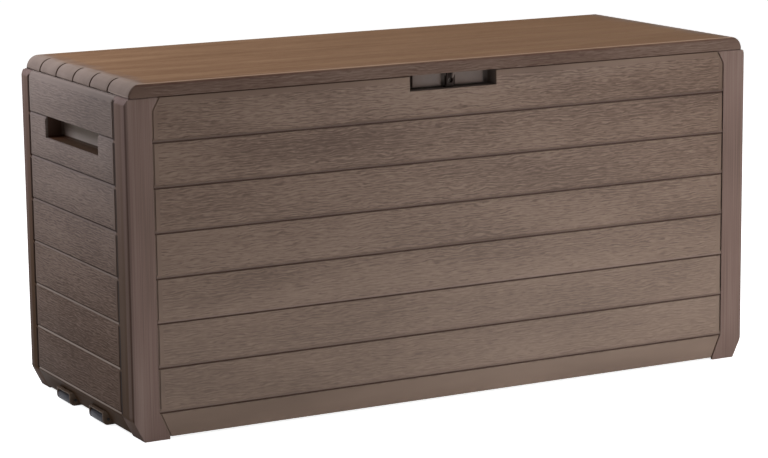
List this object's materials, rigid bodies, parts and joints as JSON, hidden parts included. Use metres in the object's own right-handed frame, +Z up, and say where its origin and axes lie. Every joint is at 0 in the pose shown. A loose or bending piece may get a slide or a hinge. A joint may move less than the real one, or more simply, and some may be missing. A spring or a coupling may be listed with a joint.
{
  "type": "outdoor storage box",
  "caption": "Long wood-look resin storage box with corner posts, hinged lid, hand grips in the ends, a latch recess for a padlock, and rollers under one end.",
  "frame": {"origin": "centre of the closed box at ground level, midway along its length and depth", "axes": "+X along the length towards the end without rollers, +Y from the front to the hinged back, +Z up"},
  "size_m": [1.16, 0.447, 0.567],
  "materials": {
    "wall_resin": "brown resin with a rough moulded wood grain",
    "post_resin": "brown resin with a fine upright brushed grain",
    "lid_resin": "warmer brown resin with a moulded wood grain",
    "inner_resin": "plain satin dark brown resin",
    "smooth_resin": "smooth satin grey-brown resin",
    "bracket_resin": "satin dark brown resin",
    "wheel_plastic": "satin dark grey hard plastic",
    "pin_steel": "plain drawn steel"
  },
  "bodies": {
    "box": {"front_panel": "wall_resin", "back_panel": "wall_resin", "left_end_panel": "wall_resin", "right_end_panel": "wall_resin", "post_front_left": "post_resin", "post_front_right": "post_resin", "post_back_left": "post_resin", "post_back_right": "post_resin", "floor_panel": "inner_resin", "latch_pocket": "inner_resin", "body_eye": "smooth_resin", "grip_cup_left": "inner_resin", "grip_cup_right": "inner_resin", "wheel_bracket_front": "bracket_resin", "wheel_bracket_back": "bracket_resin", "axle_front": "pin_steel", "axle_back": "pin_steel", "hinge_pin_left": "pin_steel", "hinge_pin_middle": "pin_steel", "hinge_pin_right": "pin_steel"},
    "lid": {"lid_shell": "lid_resin", "lid_liner": "inner_resin", "lid_pull": "smooth_resin", "lid_eye": "smooth_resin"},
    "roller_front": {"wheel_front": "wheel_plastic"},
    "roller_back": {"wheel_back": "wheel_plastic"}
  },
  "joints": [
    {"name": "lid_hinge", "type": "hinge", "parent": "box", "child": "lid", "pos_m": [0, 0.2182, 0.5512], "axis": [-1, 0, 0], "range_deg": [0, 100]},
    {"name": "roller_front_spin", "type": "hinge", "parent": "box", "child": "roller_front", "pos_m": [-0.5698, -0.065, 0.0098], "axis": [0, 1, 0], "continuous": true},
    {"name": "roller_back_spin", "type": "hinge", "parent": "box", "child": "roller_back", "pos_m": [-0.5698, 0.0775, 0.0098], "axis": [0, 1, 0], "continuous": true}
  ]
}
